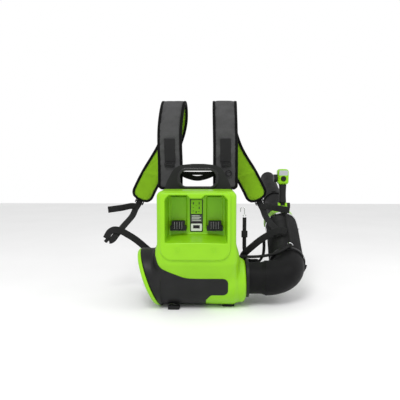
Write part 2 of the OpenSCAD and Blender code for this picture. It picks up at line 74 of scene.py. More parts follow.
# ---- Node materials ----
class Graph:
    """A material's node tree with short calls for making and joining nodes."""

    def __init__(self, name):
        self.material = bpy.data.materials.new(name)
        self.material.use_nodes = True
        self.tree = self.material.node_tree
        self.shader = self.tree.nodes["Principled BSDF"]

    def add(self, kind, inputs=None, **settings):
        made = self.tree.nodes.new("ShaderNode" + kind)
        for key, value in settings.items():
            setattr(made, key, value)
        for key, value in (inputs or {}).items():
            self.feed(made.inputs[key], value)
        return made

    def feed(self, socket, value):
        if isinstance(value, bpy.types.NodeSocket):
            self.tree.links.new(value, socket)
        else:
            socket.default_value = value

    def math(self, operation, *values):
        made = self.add("Math", operation=operation)
        for socket, value in zip(made.inputs, values):
            self.feed(socket, value)
        return made.outputs[0]

    def noise(self, vector, size, detail=3.0, stretch=None):
        """Noise whose features are about size mm across."""
        if stretch:
            vector = self.add("VectorMath", {0: vector, 1: stretch}, operation="MULTIPLY").outputs[0]
        inputs = {"Vector": vector, "Scale": 1 / (size * MM), "Detail": detail}
        return self.add("TexNoise", inputs).outputs["Fac"]

    def ramp(self, value, low, high):
        """Carries value's middle range, 0.3 to 0.7, over to low to high."""
        inputs = {"Value": value, "From Min": 0.3, "From Max": 0.7, "To Min": low, "To Max": high}
        return self.add("MapRange", inputs).outputs[0]

    def mix(self, share, one, other):
        made = self.add("Mix", data_type="RGBA")
        for key, value in ((0, share), (6, one), (7, other)):
            self.feed(made.inputs[key], value)
        return made.outputs[2]

    def bump(self, height, depth, strength=1.0):
        """depth is in mm."""
        inputs = {"Height": height, "Distance": depth * MM, "Strength": strength}
        return self.add("Bump", inputs).outputs[0]

    def object_place(self):
        return self.add("TexCoord").outputs["Object"]

    def uv_place(self):
        return self.add("UVMap", uv_map="flat").outputs[0]


def shade(colour, factor):
    return tuple(min(1.0, c * factor) for c in colour[:3]) + (1.0,)


def plastic(name, colour, rough, grain=0.45, depth=0.03, contrast=0.06, coat=0.0, gloss=0.22):
    """Moulded plastic: a fine spark-eroded grain, soft colour drift, scuffed edges."""
    g = Graph(name)
    place = g.object_place()
    drift = g.ramp(g.noise(place, 60), 0.0, 1.0)
    body = g.mix(drift, shade(colour, 1 - contrast), shade(colour, 1 + contrast))
    edge = g.add("MapRange", {"Value": g.add("NewGeometry").outputs["Pointiness"], "From Min": 0.53,
        "From Max": 0.60, "To Min": 0.0, "To Max": 0.35}).outputs[0]
    scuff = g.math("MULTIPLY", edge, g.noise(place, 6, 4))
    g.feed(g.shader.inputs["Base Color"], g.mix(scuff, body, shade(colour, 1.5)))
    smear = g.noise(place, 25, 5)
    g.feed(g.shader.inputs["Roughness"], g.ramp(smear, rough - 0.05, rough + 0.07))
    g.feed(g.shader.inputs["Normal"], g.bump(g.noise(place, grain, 2), depth))
    g.shader.inputs["Coat Weight"].default_value = coat
    g.shader.inputs["Coat Roughness"].default_value = 0.25
    g.shader.inputs["Specular IOR Level"].default_value = gloss
    return g.material


def metal(name, colour, rough, stretch=(1, 1, 1), depth=0.01):
    """Metal with fine marks, drawn out where stretch is not even."""
    g = Graph(name)
    marks = g.noise(g.object_place(), 1.2, 4, stretch)
    g.feed(g.shader.inputs["Base Color"], g.mix(marks, shade(colour, 0.86), shade(colour, 1.06)))
    g.feed(g.shader.inputs["Roughness"], g.ramp(marks, rough - 0.05, rough + 0.08))
    g.feed(g.shader.inputs["Normal"], g.bump(marks, depth))
    g.shader.inputs["Metallic"].default_value = 1.0
    return g.material


def cloth(name, colour, pitch, depth=0.25, rib=0.0, light=1.35, rough=0.86, sheen=0.25):
    """Woven cloth on a piece whose flat map is in metres: warp over weft, pitch mm from thread to
    thread, with rib making the weft heavier, as in webbing."""
    g = Graph(name)
    turns = 2 * math.pi / (pitch * MM)
    scaled = g.add("VectorMath", {0: g.uv_place(), 1: (turns, turns, turns)}, operation="MULTIPLY")
    parts = g.add("SeparateXYZ", {0: scaled.outputs[0]})
    warp = g.math("SINE", parts.outputs[0])
    weft = g.math("SINE", parts.outputs[1])
    weave = g.math("MULTIPLY", warp, weft)
    if rib:
        weave = g.math("ADD", g.math("MULTIPLY", weave, 1 - rib), g.math("MULTIPLY", weft, rib))
    height = g.math("MULTIPLY_ADD", weave, 0.5, 0.5)
    place = g.object_place()
    fibre = g.noise(place, 1.1, 4)
    # The colour is half random tone and half painted shade: darker in the weave's dips between threads,
    # lighter on its crests.
    tone = g.math("MULTIPLY_ADD", g.noise(place, 30, 3), 0.5, g.math("MULTIPLY", height, 0.5))
    weave_shade_and_tone = g.mix(tone, shade(colour, 0.62), shade(colour, light))
    g.feed(g.shader.inputs["Base Color"], weave_shade_and_tone)
    g.feed(g.shader.inputs["Roughness"], g.ramp(fibre, rough - 0.06, rough + 0.08))
    mixed = g.math("MULTIPLY_ADD", fibre, 0.35, height)
    g.feed(g.shader.inputs["Normal"], g.bump(mixed, depth))
    g.shader.inputs["Sheen Weight"].default_value = sheen
    g.shader.inputs["Sheen Roughness"].default_value = 0.5
    g.shader.inputs["Specular IOR Level"].default_value = 0.15
    return g.material


LIME = (0.250, 0.565, 0.009)
BLACK = (0.011, 0.011, 0.0115)
MATERIALS = {
    "shell_green": plastic("shell_green", LIME, 0.34, depth=0.015, contrast=0.03, coat=0.15),
    "black_plastic": plastic("black_plastic", BLACK, 0.46, grain=0.7, depth=0.05, contrast=0.2),
    "tube_plastic": plastic("tube_plastic", (0.007, 0.007, 0.0073), 0.5, grain=1.0, contrast=0.2,
        gloss=0.1),
    "grip_rubber": plastic("grip_rubber", (0.012, 0.012, 0.012), 0.62, grain=1.2, depth=0.1),
    "rubber": plastic("rubber", (0.012, 0.012, 0.0125), 0.66, grain=0.9, depth=0.08, contrast=0.2),
    "hose_rubber": plastic("hose_rubber", (0.012, 0.012, 0.0125), 0.52, grain=0.6, depth=0.04),
    "steel": metal("steel", (0.24, 0.24, 0.25), 0.36, (1, 12, 12)),
    "chrome": metal("chrome", (0.78, 0.78, 0.80), 0.14),
    "contact_metal": metal("contact_metal", (0.42, 0.42, 0.42), 0.38),
    "label": plastic("label", (0.10, 0.10, 0.10), 0.4, depth=0.01),
    "circuit_board": plastic("circuit_board", (0.02, 0.13, 0.05), 0.4),
    "display": plastic("display", (0.40, 0.42, 0.44), 0.12, depth=0.005, coat=0.6),
    "strap_fabric": cloth("strap_fabric", (0.062, 0.062, 0.063), 1.5, sheen=0.08),
    "pad_fabric": cloth("pad_fabric", (0.016, 0.016, 0.017), 1.7, sheen=0.08),
    "lining_fabric": cloth("lining_fabric", (0.255, 0.53, 0.014), 1.9, depth=0.4, light=1.2, sheen=0.05),
    "webbing": cloth("webbing", (0.017, 0.017, 0.0175), 1.3, rib=0.55, depth=0.3, sheen=0.06),
}
DETAIL = {
    "dark_steel": metal("dark_steel", (0.045, 0.045, 0.047), 0.4),
    "binding": cloth("binding", (0.0025, 0.0025, 0.0025), 1.1, rib=0.4, depth=0.2, sheen=0.02),
    "thread": cloth("thread", (0.05, 0.05, 0.05), 0.5, depth=0.1),
    "label_black": plastic("label_black", (0.012, 0.012, 0.012), 0.3, depth=0.005),
    "label_green": plastic("label_green", LIME, 0.3, depth=0.005),
    "label_white": plastic("label_white", (0.75, 0.75, 0.74), 0.3, depth=0.005),
    "gloss_black": plastic("gloss_black", (0.008, 0.008, 0.008), 0.2, depth=0.01, coat=0.5),
}


def look(name):
    return MATERIALS.get(name) or DETAIL[name]


# ---- Pieces ----
def piece(name, points, faces, material, body=None, flat=None, replaces=(), smooth=True):
    """A mesh from points in mm. flat gives each point's place on the flattened cloth, in mm, and
    material may be one name or one for each face."""
    mesh = bpy.data.meshes.new(name)
    points = np.asarray(points, float) * MM
    mesh.from_pydata(points.tolist(), [], [list(map(int, f)) for f in faces])
    names = [material] if isinstance(material, str) else sorted(set(material))
    for one in names:
        mesh.materials.append(look(one))
    if not isinstance(material, str):
        mesh.polygons.foreach_set("material_index", [names.index(one) for one in material])
    if flat is not None:
        layer = mesh.uv_layers.new(name="flat")
        corner = np.zeros(len(mesh.loops), int)
        mesh.loops.foreach_get("vertex_index", corner)
        layer.data.foreach_set("uv", (np.asarray(flat, float)[corner] * MM).astype(np.float32).ravel())
    if smooth:
        mesh.polygons.foreach_set("use_smooth", [True] * len(mesh.polygons))
    mesh.update()
    made = bpy.data.objects.new(name, mesh)
    bpy.context.scene.collection.objects.link(made)
    if body:
        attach(made, body)
    if replaces:
        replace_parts(made, *replaces)
    return made


def rings_mesh(rings, closed=False):
    """Faces that join rings of equal length, with flat ends unless closed. They point inwards where
    the rings run anticlockwise, seen from the path's end, as in the sweeps, the hose and the pads."""
    m, n = len(rings[0]), len(rings)
    faces = []
    for k in range(n if closed else n - 1):
        a, b = k * m, (k + 1) % n * m
        for j in range(m):
            i = (j + 1) % m
            faces.append((a + j, b + j, b + i, a + i))
    if not closed:
        faces += [tuple(range(m)), tuple(range(n * m - 1, (n - 1) * m - 1, -1))]
    return np.concatenate(rings), faces


def unit(v):
    return v / np.maximum(np.linalg.norm(v, axis=-1, keepdims=True), 1e-9)


def distance_along(points):
    """Distance from the first point to each point, along the line through them."""
    return np.concatenate([[0], np.cumsum(np.linalg.norm(np.diff(points, axis=0), axis=1))])


def resample(points, along, at):
    """The line's points at the distances at, given each point's own distance along it."""
    return np.stack([np.interp(at, along, points[:, k]) for k in range(3)], -1)


def curve(points, spacing):
    """A smooth curve through the points, as the CAD draws it, resampled every spacing mm."""
    p = np.array(points, float)
    n = len(p)
    fine = []
    for i in range(n - 1):
        a, b, c, d = p[max(i - 1, 0)], p[i], p[i + 1], p[min(i + 2, n - 1)]
        t = np.linspace(0, 1, 24, endpoint=False)[:, None]
        fine.append(0.5 * (2 * b + (c - a) * t + (2 * a - 5 * b + 4 * c - d) * t**2
            + (3 * b - a - 3 * c + d) * t**3))
    fine = np.concatenate(fine + [p[-1:]])
    along = distance_along(fine)
    count = max(2, int(round(along[-1] / spacing)) + 1)
    at = np.linspace(0, along[-1], count)
    return resample(fine, along, at), at


def frames(path, side):
    """Tangent, side and normal at each point of a path, as the CAD sets them."""
    t = unit(np.gradient(path, axis=0))
    side = np.array(side, float)
    s = unit(side - (t @ side)[:, None] * t)
    return t, s, np.cross(t, s)


def sweep(name, path, at, side, profile, material, body, scale=None, **more):
    """A closed profile (side offset, normal offset) carried along a path."""
    t, s, n = frames(path, side)
    q = np.array(profile, float)
    size = np.ones(len(path)) if scale is None else scale
    rings = [c + k * (q[:, :1] * a + q[:, 1:] * b) for c, a, b, k in zip(path, s, n, size)]
    points, faces = rings_mesh(rings)
    flat = np.stack([np.tile(distance_along(q), len(path)), np.repeat(at, len(q))], -1)
    return piece(name, points, faces, material, body, flat, **more)


def circle(r, count):
    a = np.arange(count) * 2 * math.pi / count
    return np.stack([r * np.cos(a), r * np.sin(a)], -1)


def band(half, thick, crown=0.3):
    """Outline of a woven band's section: flat faces, round selvedges, a faint crown."""
    u = np.linspace(-half + thick / 2, half - thick / 2, 9)
    rise = thick / 2 + crown * (1 - (u / half)**2)
    turn = np.radians([60, 0, -60])
    cap = np.stack([half - thick / 2 + thick / 2 * np.cos(turn), thick / 2 * np.sin(turn)], -1)
    top = np.stack([u, rise], -1)
    below = (top * (1, -1))[::-1]
    return np.concatenate([top, cap, below, cap[::-1] * (-1, 1)])[::-1]


def ribbed(radius, depth, pitch, at):
    """Scale along a tube that gives it round ribs, pitch mm apart."""
    return 1 + depth / radius * np.cos(at * 2 * math.pi / pitch)


# ---- Control cable: the cords come first ----
CABLE_R = 5.5
CABLE_SIDE = (0.1, -0.8, 0.6)
CABLE_ROUTE = [(128, 42, 155), (141, 42, 155), (165, 48, 154), (200, 55, 153), (240, 52, 158),
    (275, 46, 169), (300, 50, 182), (323, 63, 195), (325, 76, 205), (326, 92, 215), (326, 118, 234),
    (326, 138, 249), (326, 160, 265), (327, 188, 284), (328, 215, 299), (328, 236, 299)]
CABLE_JOINS = (7, 10)
RIB_HEIGHT = 0.45
RIB_PITCH = 3.0


def cable(name, first, last, node):
    """One length of the control cable, between two of its route's points."""
    path, at = curve(CABLE_ROUTE, 0.75)
    start, end = [int(np.linalg.norm(path - CABLE_ROUTE[k], axis=1).argmin()) for k in (first, last)]
    path, at = path[start:end + 1], at[start:end + 1] - at[start]
    scale = ribbed(CABLE_R, RIB_HEIGHT, RIB_PITCH, at) * (1 - RIB_HEIGHT / CABLE_R)
    made = sweep(name, path, at, CABLE_SIDE, circle(CABLE_R, 16), "rubber", None, scale, replaces=[node])
    return made


def blended(made, one, other, start, end):
    """Bakes made's placement into its points; one, other, start and end are not used."""
    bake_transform(made)


lower_join, upper_join = (CABLE_ROUTE[k] for k in CABLE_JOINS)
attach(cable("control_cable_lower", 0, CABLE_JOINS[0], "cable_lower"), "blower")
middle_length = cable("control_cable_middle", *CABLE_JOINS, "cable_middle")
blended(middle_length, "blower", "hose", lower_join, upper_join)
upper_length = cable("control_cable_upper", CABLE_JOINS[1], len(CABLE_ROUTE) - 1, "cable_upper")
blended(upper_length, "hose", "tube", upper_join, CABLE_ROUTE[-1])


# ---- Solid forms as distance fields, meshed on a grid ----
def smooth_min(a, b, k):
    """The smaller of two distances, with the crease between them filled over a width k."""
    h = np.clip(0.5 + 0.5 * (b - a) / k, 0, 1)
    return b + (a - b) * h - k * h * (1 - h)


def smooth_max(a, b, k):
    return -smooth_min(-a, -b, k)


def round_box(p, low, high, r):
    """Signed distance to a box with edges rounded by r."""
    low, high = np.array(low, float), np.array(high, float)
    q = np.abs(p - (low + high) / 2) - (high - low) / 2 + r
    return np.linalg.norm(np.maximum(q, 0), axis=-1) + np.minimum(q.max(-1), 0) - r


def prism(outline, across, half, r):
    """A flat outline's distance, thickened to half each way, its edges rounded by r."""
    a, b = outline + r, np.abs(across) - half + r
    return np.minimum(np.maximum(a, b), 0) + np.hypot(np.maximum(a, 0), np.maximum(b, 0)) - r


def polygon(u, v, corners):
    """Signed distance to a polygon, negative inside."""
    c = np.array(corners, float)
    best = np.full(u.shape, 1e9)
    inside = np.zeros(u.shape, bool)
    for (ax, ay), (bx, by) in zip(c, np.roll(c, -1, 0)):
        ex, ey = bx - ax, by - ay
        t = np.clip(((u - ax) * ex + (v - ay) * ey) / max(ex * ex + ey * ey, 1e-9), 0, 1)
        best = np.minimum(best, np.hypot(u - ax - t * ex, v - ay - t * ey))
        if ay != by:
            inside ^= ((ay > v) != (by > v)) & (u < ex * (v - ay) / ey + ax)
    return np.where(inside, -best, best)


def level_set(field, low, high, step):
    """The surface where field is zero, by surface nets, as points and quads."""
    axes = [np.arange(a, b + step, step) for a, b in zip(low, high)]
    grid = np.stack(np.meshgrid(*axes, indexing="ij"), -1)
    value = np.stack([field(sheet.reshape(-1, 3)).reshape(sheet.shape[:2]) for sheet in grid])
    cells = np.array(value.shape) - 1
    total, count = np.zeros((*cells, 3)), np.zeros(cells)
    crossings = []
    for axis in range(3):
        a, b = np.take(value, range(cells[axis]), axis), np.take(value, range(1, cells[axis] + 1), axis)
        found = np.argwhere((a < 0) != (b < 0))
        at_a, at_b = a[tuple(found.T)], b[tuple(found.T)]
        place = found.astype(float)
        place[:, axis] += at_a / (at_a - at_b)
        others = [k for k in range(3) if k != axis]
        corners = []
        for step_0, step_1 in ((-1, -1), (0, -1), (0, 0), (-1, 0)):
            cell = found.copy()
            cell[:, others[0]] += step_0
            cell[:, others[1]] += step_1
            real = ((cell >= 0) & (cell < cells)).all(1)
            np.add.at(total, tuple(cell[real].T), place[real])
            np.add.at(count, tuple(cell[real].T), 1)
            corners.append(cell)
        corners = np.stack(corners, 1)
        whole = ((corners >= 0) & (corners < cells)).all((1, 2))
        turned = (at_a < 0) == (axis == 1)
        crossings.append((corners[whole], turned[whole]))
    number = np.full(cells, -1)
    number[count > 0] = np.arange((count > 0).sum())
    points = np.array(low) + step * total[count > 0] / count[count > 0][:, None]
    faces = []
    for corners, turned in crossings:
        quads = number[tuple(np.moveaxis(corners, -1, 0))]
        quads[turned] = quads[turned][:, ::-1]
        faces.append(quads)
    for _ in range(2):
        points = points - np.clip(slope_step(field, points), -step / 2, step / 2)
    return points, np.concatenate(faces)


def slope_step(field, points):
    """The step along the field's slope that brings each point to the zero level."""
    reach = 0.2
    slope = np.stack([(field(points + reach * e) - field(points - reach * e)) / (2 * reach)
        for e in np.eye(3)], -1)
    size = np.maximum((slope**2).sum(-1), 0.05)
    return slope * (field(points) / size)[:, None]


def solid(name, field, low, high, step, material, body, **more):
    """A piece whose surface is where the distance field is zero."""
    points, faces = level_set(field, low, high, step)
    return piece(name, points, faces, material, body, **more)


# ---- Housing, fan casing and intake cover ----
AXIS_Z = 92
CASING_R = 86
OUTLET_Z = 84
OUTLET_R = 73
BELL_Z = 97
BELL_R = 94.5
MOUTH_X = -155
MOUTH_TILT = math.radians(20)
HOUSING_REAR = -118
BAY_BACK = -32
BAY_DEPTH = BAY_BACK - HOUSING_REAR
ROOF_X = [-98, -85, -28, -19, 16, 27, 83, 97]
ROOF_Z = [367, 379, 379, 369, 369, 379, 379, 367]
SHELF_Z = 230
SHELF_SLOPE = 0.19
SHELF_CROWN = 9
SLOTS = (-60, 57.5)
SLOT_HALF = 26.5
LATCH_HALF = 24
FRONT_MIDDLE = -3.5
FRONT_FOOT_Z = 212


def duct(p):
    """The air duct through the casing, narrowing towards its outlet."""
    bore = np.interp(p[:, 0], [-130, 95, 126, 162], [79, 79, 62, 54])
    return np.hypot(p[:, 1], p[:, 2] - AXIS_Z) - bore


def outer_form(p):
    """Housing and casing as one smooth body, without the bay and the duct."""
    x, y, z = p.T
    housing = round_box(p, (-125.5, -108, 150), (125.5, 52, 390), 17)
    flare = round_box(p, (-133, -101, 112), (129, 51, 216), 32)
    front = round_box(np.stack([x, 0 * x, z], -1), (-114, -50, 174), (107, 50, 386), 13)
    across = np.abs(x - FRONT_MIDDLE)
    foot = np.hypot(np.maximum(across - 72.5, 0), np.minimum(z - FRONT_FOOT_Z, 0)) - 38
    front = np.where(z < FRONT_FOOT_Z, np.maximum(foot, across - 110.5), front)
    front = prism(front, y - HOUSING_REAR - 14, 14, 5)
    casing = prism(np.hypot(y, z - AXIS_Z) - CASING_R, x, 130, 14)
    saddle = round_box(p, (-126, -84, AXIS_Z), (126, 52, 190), 12)
    outlet = prism(np.hypot(y, z - OUTLET_Z) - OUTLET_R, x - 100, 62, 17)
    lower = smooth_min(smooth_min(casing, saddle, 8), outlet, 14)
    return smooth_min(smooth_min(smooth_min(housing, flare, 26), lower, 24), front, 3)


def bay(p):
    """The two battery bays: a chamfered mouth, a crowned shelf, and a recess in the back wall."""
    x, y, z = p.T
    inwards = y - HOUSING_REAR
    roof = np.interp(x, ROOF_X, ROOF_Z) - 7 * np.clip(inwards / BAY_DEPTH, 0, 1)
    fall = SHELF_CROWN * ((x + 1) / 98)**2 * np.clip(inwards / BAY_DEPTH, 0.25, 1)
    shelf = SHELF_Z + SHELF_SLOPE * inwards - fall
    sides = np.abs(x + 0.5) - 97.5 + 0.05 * inwards
    space = smooth_max(smooth_max(sides, (z - roof) * 0.85, 6), (shelf - z) * 0.97, 7)
    space = smooth_max(space, y - BAY_BACK, 6)
    for slot_x in SLOTS:
        slot = prism(round_box(np.stack([x - slot_x, 0 * x, z - 322], -1), (-SLOT_HALF, -9, -60),
            (SLOT_HALF, 9, 46), 4), y - BAY_BACK, 6, 1)
        space = smooth_min(space, slot, 1.5)
        latch = round_box(p, (slot_x - LATCH_HALF, BAY_BACK - 3, 368),
            (slot_x + LATCH_HALF, BAY_BACK + 12, 371.5), 1)
        space = np.minimum(space, latch)
    return space


def green_shell(p):
    """The housing and fan casing, hollowed by the bays and the duct."""
    shell = smooth_max(outer_form(p), -bay(p), 3.2)
    return smooth_max(shell, -duct(p), 1.5)


def arc(cx, cz, r, start, end, count=7):
    """Points on an arc, from start to end degrees."""
    a = np.radians(np.linspace(start, end, count))
    return np.stack([cx + r * np.cos(a), cz + r * np.sin(a)], -1)


COVER_EDGE = curve([(-133, 0, 215), (-132, 0, 198), (-129, 0, 181), (-117, 0, 153), (-97, 0, 138.5),
    (-58, 0, 121), (-33, 0, 112.5), (0, 0, 110.5), (60, 0, 110.5)], 6)[0][:, [0, 2]]
COVER_TAIL = curve([(52, 0, 53), (45, 0, 51), (38, 0, 43), (30, 0, 34)], 3)[0][:, [0, 2]]
COVER_OUTLINE = np.concatenate([[(-260, 215)], COVER_EDGE, arc(84, 93.5, 17, 90, 0),
    arc(84, 70, 17, 0, -90), COVER_TAIL, [(30, -20), (-260, -20)]])


def mouth_side(p):
    """Distance outside the plane of the intake's mouth."""
    return -(p[:, 0] - MOUTH_X) * math.cos(MOUTH_TILT) - (p[:, 2] - BELL_Z) * math.sin(MOUTH_TILT)


def intake_cover(p):
    """The black cover: a skin over the casing's left part, drawn out into the intake's bell."""
    x, y, z = p.T
    bell = np.hypot(y, z - BELL_Z) - BELL_R
    bell = np.maximum(bell, x + 118)
    skin = smooth_min(outer_form(p) - 1.6, bell, 12)
    area = np.where(y < -4, polygon(x, z, COVER_OUTLINE), np.maximum(x + 127, -4 - y))
    skin = smooth_max(skin, area, 1.6)
    skin = smooth_max(skin, mouth_side(p), 1.5)
    throat = np.hypot(y, z - BELL_Z) - np.interp(x, [-230, -120], [90, 81])
    return smooth_max(smooth_max(skin, -throat, 2), -duct(p), 1)


BODY_STEP = 2.4
solid("housing_shell", green_shell, (-140, -124, 0), (170, 60, 398), BODY_STEP, "shell_green", "blower",
    replaces=["battery_housing", "fan_casing"])
solid("intake_cover_shell", intake_cover, (-226, -118, -4), (108, 102, 214), BODY_STEP, "black_plastic",
    "blower", replaces=["intake_cover"])


def round_corners(low, high, r, inset=0.0, count=5):
    """Outline of a rectangle whose corners have radius r, drawn inset mm inside it."""
    (x0, z0), (x1, z1) = low, high
    corners = (x1 - r, z1 - r, 0), (x0 + r, z1 - r, 90), (x0 + r, z0 + r, 180), (x1 - r, z0 + r, 270)
    return np.concatenate([arc(cx, cz, max(r - inset, 0.05), a, a + 90, count) for cx, cz, a in corners])


def plate(name, low, high, r, y_front, thick, material, body="blower", hole=0.0):
    """A thin plate facing the rear, with round corners, or a ring where hole is its width."""
    bevel = min(0.3, thick / 2)
    steps = [(0, thick), (0, bevel), (bevel, 0)]
    if hole:
        steps += [(hole - bevel, 0), (hole, bevel), (hole, thick)]
    rings = []
    for inset, depth in steps:
        edge = round_corners(low, high, r, inset)
        rings.append(np.stack([edge[:, 0], np.full(len(edge), y_front + depth), edge[:, 1]], -1))
    points, faces = rings_mesh(rings, closed=bool(hole))
    return piece(name, points, faces, material, body, smooth=False)


# ---- Label: a dark film with plain blocks and no lettering ----
FILM_Y = BAY_BACK - 1.3
PRINT_Y = FILM_Y - 0.25
MARK_Y = FILM_Y - 0.45
PRINT_THICK = 0.3
LABEL_MARKS = [(-12, 347, 3, 8), (7, 347, 3, 8), (7, 332, 3, 8), (-3, 318, 3, 7), (-12, 333, 4, 2),
    (-12, 322, 4, 2), (6, 320, 4, 2), (-3, 340, 2, 2)]
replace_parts(plate("label_film", (-23, 253), (19, 361), 3, FILM_Y, 1.2, "label_black"), "label_plate")
plate("label_green", (-20, 312), (16, 358), 2, PRINT_Y, PRINT_THICK, "label_green")
plate("label_grey", (-20, 286), (16, 309), 0.5, PRINT_Y, PRINT_THICK, "label")
plate("label_white", (-20, 256), (16, 280), 2, PRINT_Y, PRINT_THICK, "label_white")
for k, (x, z, w, h) in enumerate(LABEL_MARKS):
    plate(f"label_mark_{k}", (x - w / 2, z - h / 2), (x + w / 2, z + h / 2), 0.8, MARK_Y, PRINT_THICK,
        "label_black")
plate("label_block", (-13, 264), (9, 275), 0.5, MARK_Y, PRINT_THICK, "label_black")
for k, z in enumerate((291, 296, 301, 306)):
    plate(f"label_line_{k}", (-17, z - 1), (13 - 5 * (k % 2), z + 1), 0.4, MARK_Y, PRINT_THICK,
        "label_white")

# ---- Raised marks on the lip: a plain cell in a round-cornered frame ----
for k, x in enumerate((-58, 54)):
    plate(f"lip_frame_{k}", (x - 8, 200), (x + 8, 217), 4, -118.7, 1.2, "shell_green", hole=1.6)
    plate(f"lip_cell_{k}", (x - 2, 205), (x + 2, 212), 1, -118.6, 1.1, "shell_green")

# ---- Ribbed hose ----
TUBE_RISE = math.radians(21)
ELBOW_RISE = math.radians(20)
HOSE_REACH = 65
HOSE_WALL = 6
HOSE_R = 62
HOSE_TAPER = 3
HOSE_CUFF = 0.07
HOSE_RIB = 0.9
HOSE_PITCH = 4.2
HOSE_RINGS = 150
HOSE_SIDES = 96
HOSE_START = np.array((316, 79.87, 121.07))
HOSE_END = np.array((319, 250, 236.0))


def rising(angle):
    """The direction that points ahead and up by angle."""
    return np.array((0, math.cos(angle), math.sin(angle)))


def hose_line(t):
    """Bezier curve from the elbow's outlet to the blower tube's base."""
    t = t[:, None]
    start_pull = HOSE_START + HOSE_REACH * rising(ELBOW_RISE)
    end_pull = HOSE_END - HOSE_REACH * rising(TUBE_RISE)
    near = HOSE_START * (1 - t)**3 + 3 * start_pull * t * (1 - t)**2
    return near + 3 * end_pull * t**2 * (1 - t) + HOSE_END * t**3


def hose(name, start, end, bodies, node):
    """Part of the hose, from start to end of its length: a hollow tube, ribbed but for its end cuffs."""
    share = np.linspace(start, end, HOSE_RINGS)
    path = hose_line(share)
    at = distance_along(path)
    ribs = np.clip(np.minimum(share - HOSE_CUFF, 1 - HOSE_CUFF - share) / 0.02, 0, 1)
    outer = HOSE_R - HOSE_TAPER * share - ribs * HOSE_RIB * (1 - np.cos(at * 2 * math.pi / HOSE_PITCH))
    _, side, up = frames(path, (1, 0, 0))
    q = circle(1, HOSE_SIDES)
    ring = q[None, :, :1] * side[:, None] + q[None, :, 1:] * up[:, None]
    rings = list(path[:, None] + outer[:, None, None] * ring)
    rings += list((path[:, None] + (outer[:, None, None] - HOSE_WALL) * ring)[::-12])
    points, faces = rings_mesh(rings, closed=True)
    made = piece(name, points, faces, "hose_rubber", replaces=[node])
    blended(made, *bodies, path[0], path[-1])


hose("hose_half_lower", 0.012, 0.4995, ("blower", "hose"), "hose_lower")
hose("hose_half_upper", 0.5005, 0.988, ("hose", "tube"), "hose_upper")

# ---- Padded pieces: two cloths sewn round their edge, run as cloth, then bound and stitched ----
MIDDLE_X = -2
CLOTH_FRAMES = 20
CLOTH_PRESSURE = 4.0
CLOTH_SHRINK = -0.035    # the cloth is cut this much larger than the pad, so that it wrinkles
SEAM_IN = 3.0            # from the pad's edge to its seam
END_SWELL = 16           # length over which a pad swells from its end seam
LEAST_SWELL = math.sqrt(0.02)
CHANNEL_DEPTH = 0.75
CHANNEL_HALF = 0.05
SECTION_BEND = math.pi / 2 * 0.92
ACROSS = np.sin(np.linspace(-1, 1, 19) * SECTION_BEND) / math.sin(SECTION_BEND)


def draw_in(made, held, cap):
    """Runs a pad as cloth with its held points fixed. Its faces point inwards, so the pressure draws
    its sides together and leaves it thinner; no point moves more than cap mm."""
    mesh = made.data
    made.vertex_groups.new(name="held").add([int(k) for k in held], 1, "REPLACE")
    cloth = made.modifiers.new("cloth", "CLOTH")
    settings = cloth.settings
    settings.quality = 6
    settings.mass = 0.2
    settings.tension_stiffness = settings.compression_stiffness = 20
    settings.shear_stiffness = 8
    settings.bending_stiffness = 1.5
    settings.shrink_min = CLOTH_SHRINK
    settings.use_pressure = True
    settings.uniform_pressure_force = CLOTH_PRESSURE
    settings.vertex_group_mass = "held"
    settings.effector_weights.gravity = 0
    cloth.collision_settings.use_collision = False
    cloth.point_cache.frame_start, cloth.point_cache.frame_end = 1, CLOTH_FRAMES
    scene = bpy.context.scene
    for k in range(1, CLOTH_FRAMES + 1):
        scene.frame_set(k)
    moved = made.evaluated_get(bpy.context.evaluated_depsgraph_get()).data
    old, new = [np.empty(len(mesh.vertices) * 3, np.float32) for _ in range(2)]
    mesh.vertices.foreach_get("co", old)
    moved.vertices.foreach_get("co", new)
    move = (new - old).reshape(-1, 3)
    far = np.linalg.norm(move, axis=1, keepdims=True)
    move *= np.minimum(1, cap * MM / np.maximum(far, 1e-9))
    made.modifiers.remove(cloth)
    made.vertex_groups.clear()
    mesh.vertices.foreach_set("co", old + move.ravel())
    mesh.update()
    scene.frame_set(1)


def quarter_round(d, r):
    """Height, from 0 to 1, of a quarter circle of radius r at distance d from its foot."""
    return np.sqrt(np.clip(1 - (1 - np.minimum(d / r, 1))**2, 0, 1))


def pad_section(channels):
    """A pad's thickness across it, from 0 to 1: thin at the seams and along its sewn channels."""
    profile = (1 - np.abs(ACROSS)**5)**0.5
    for c in channels:
        profile = profile * (1 - CHANNEL_DEPTH * np.exp(-((ACROSS - c) / CHANNEL_HALF)**2))
    return profile


